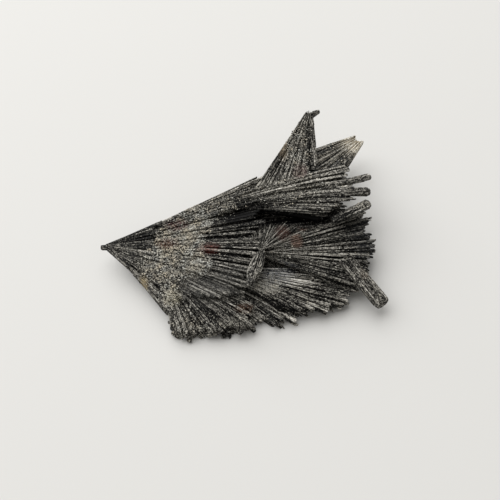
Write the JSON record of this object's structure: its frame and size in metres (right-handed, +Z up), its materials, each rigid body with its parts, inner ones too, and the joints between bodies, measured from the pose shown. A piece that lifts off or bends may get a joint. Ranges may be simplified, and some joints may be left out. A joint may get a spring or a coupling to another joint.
{
  "type": "black kyanite fan",
  "caption": "Natural mineral specimen: sprays of black, flat-sided blades that fan out from a pointed root, with two spikes at the back.",
  "frame": {"origin": "middle of the bounding box, in the plane of the surface that the specimen lies on", "axes": "+X from the pointed root towards the splayed ends of the blades, +Y towards the two spikes at the back, +Z up"},
  "size_m": [0.0952, 0.08, 0.0217],
  "materials": {
    "kyanite": "graphite-black blades with a pearly gloss, dusted with pale grains, with a few rust-red stains"
  },
  "bodies": {
    "root": {"kyanite_fan": "kyanite"}
  },
  "joints": []
}
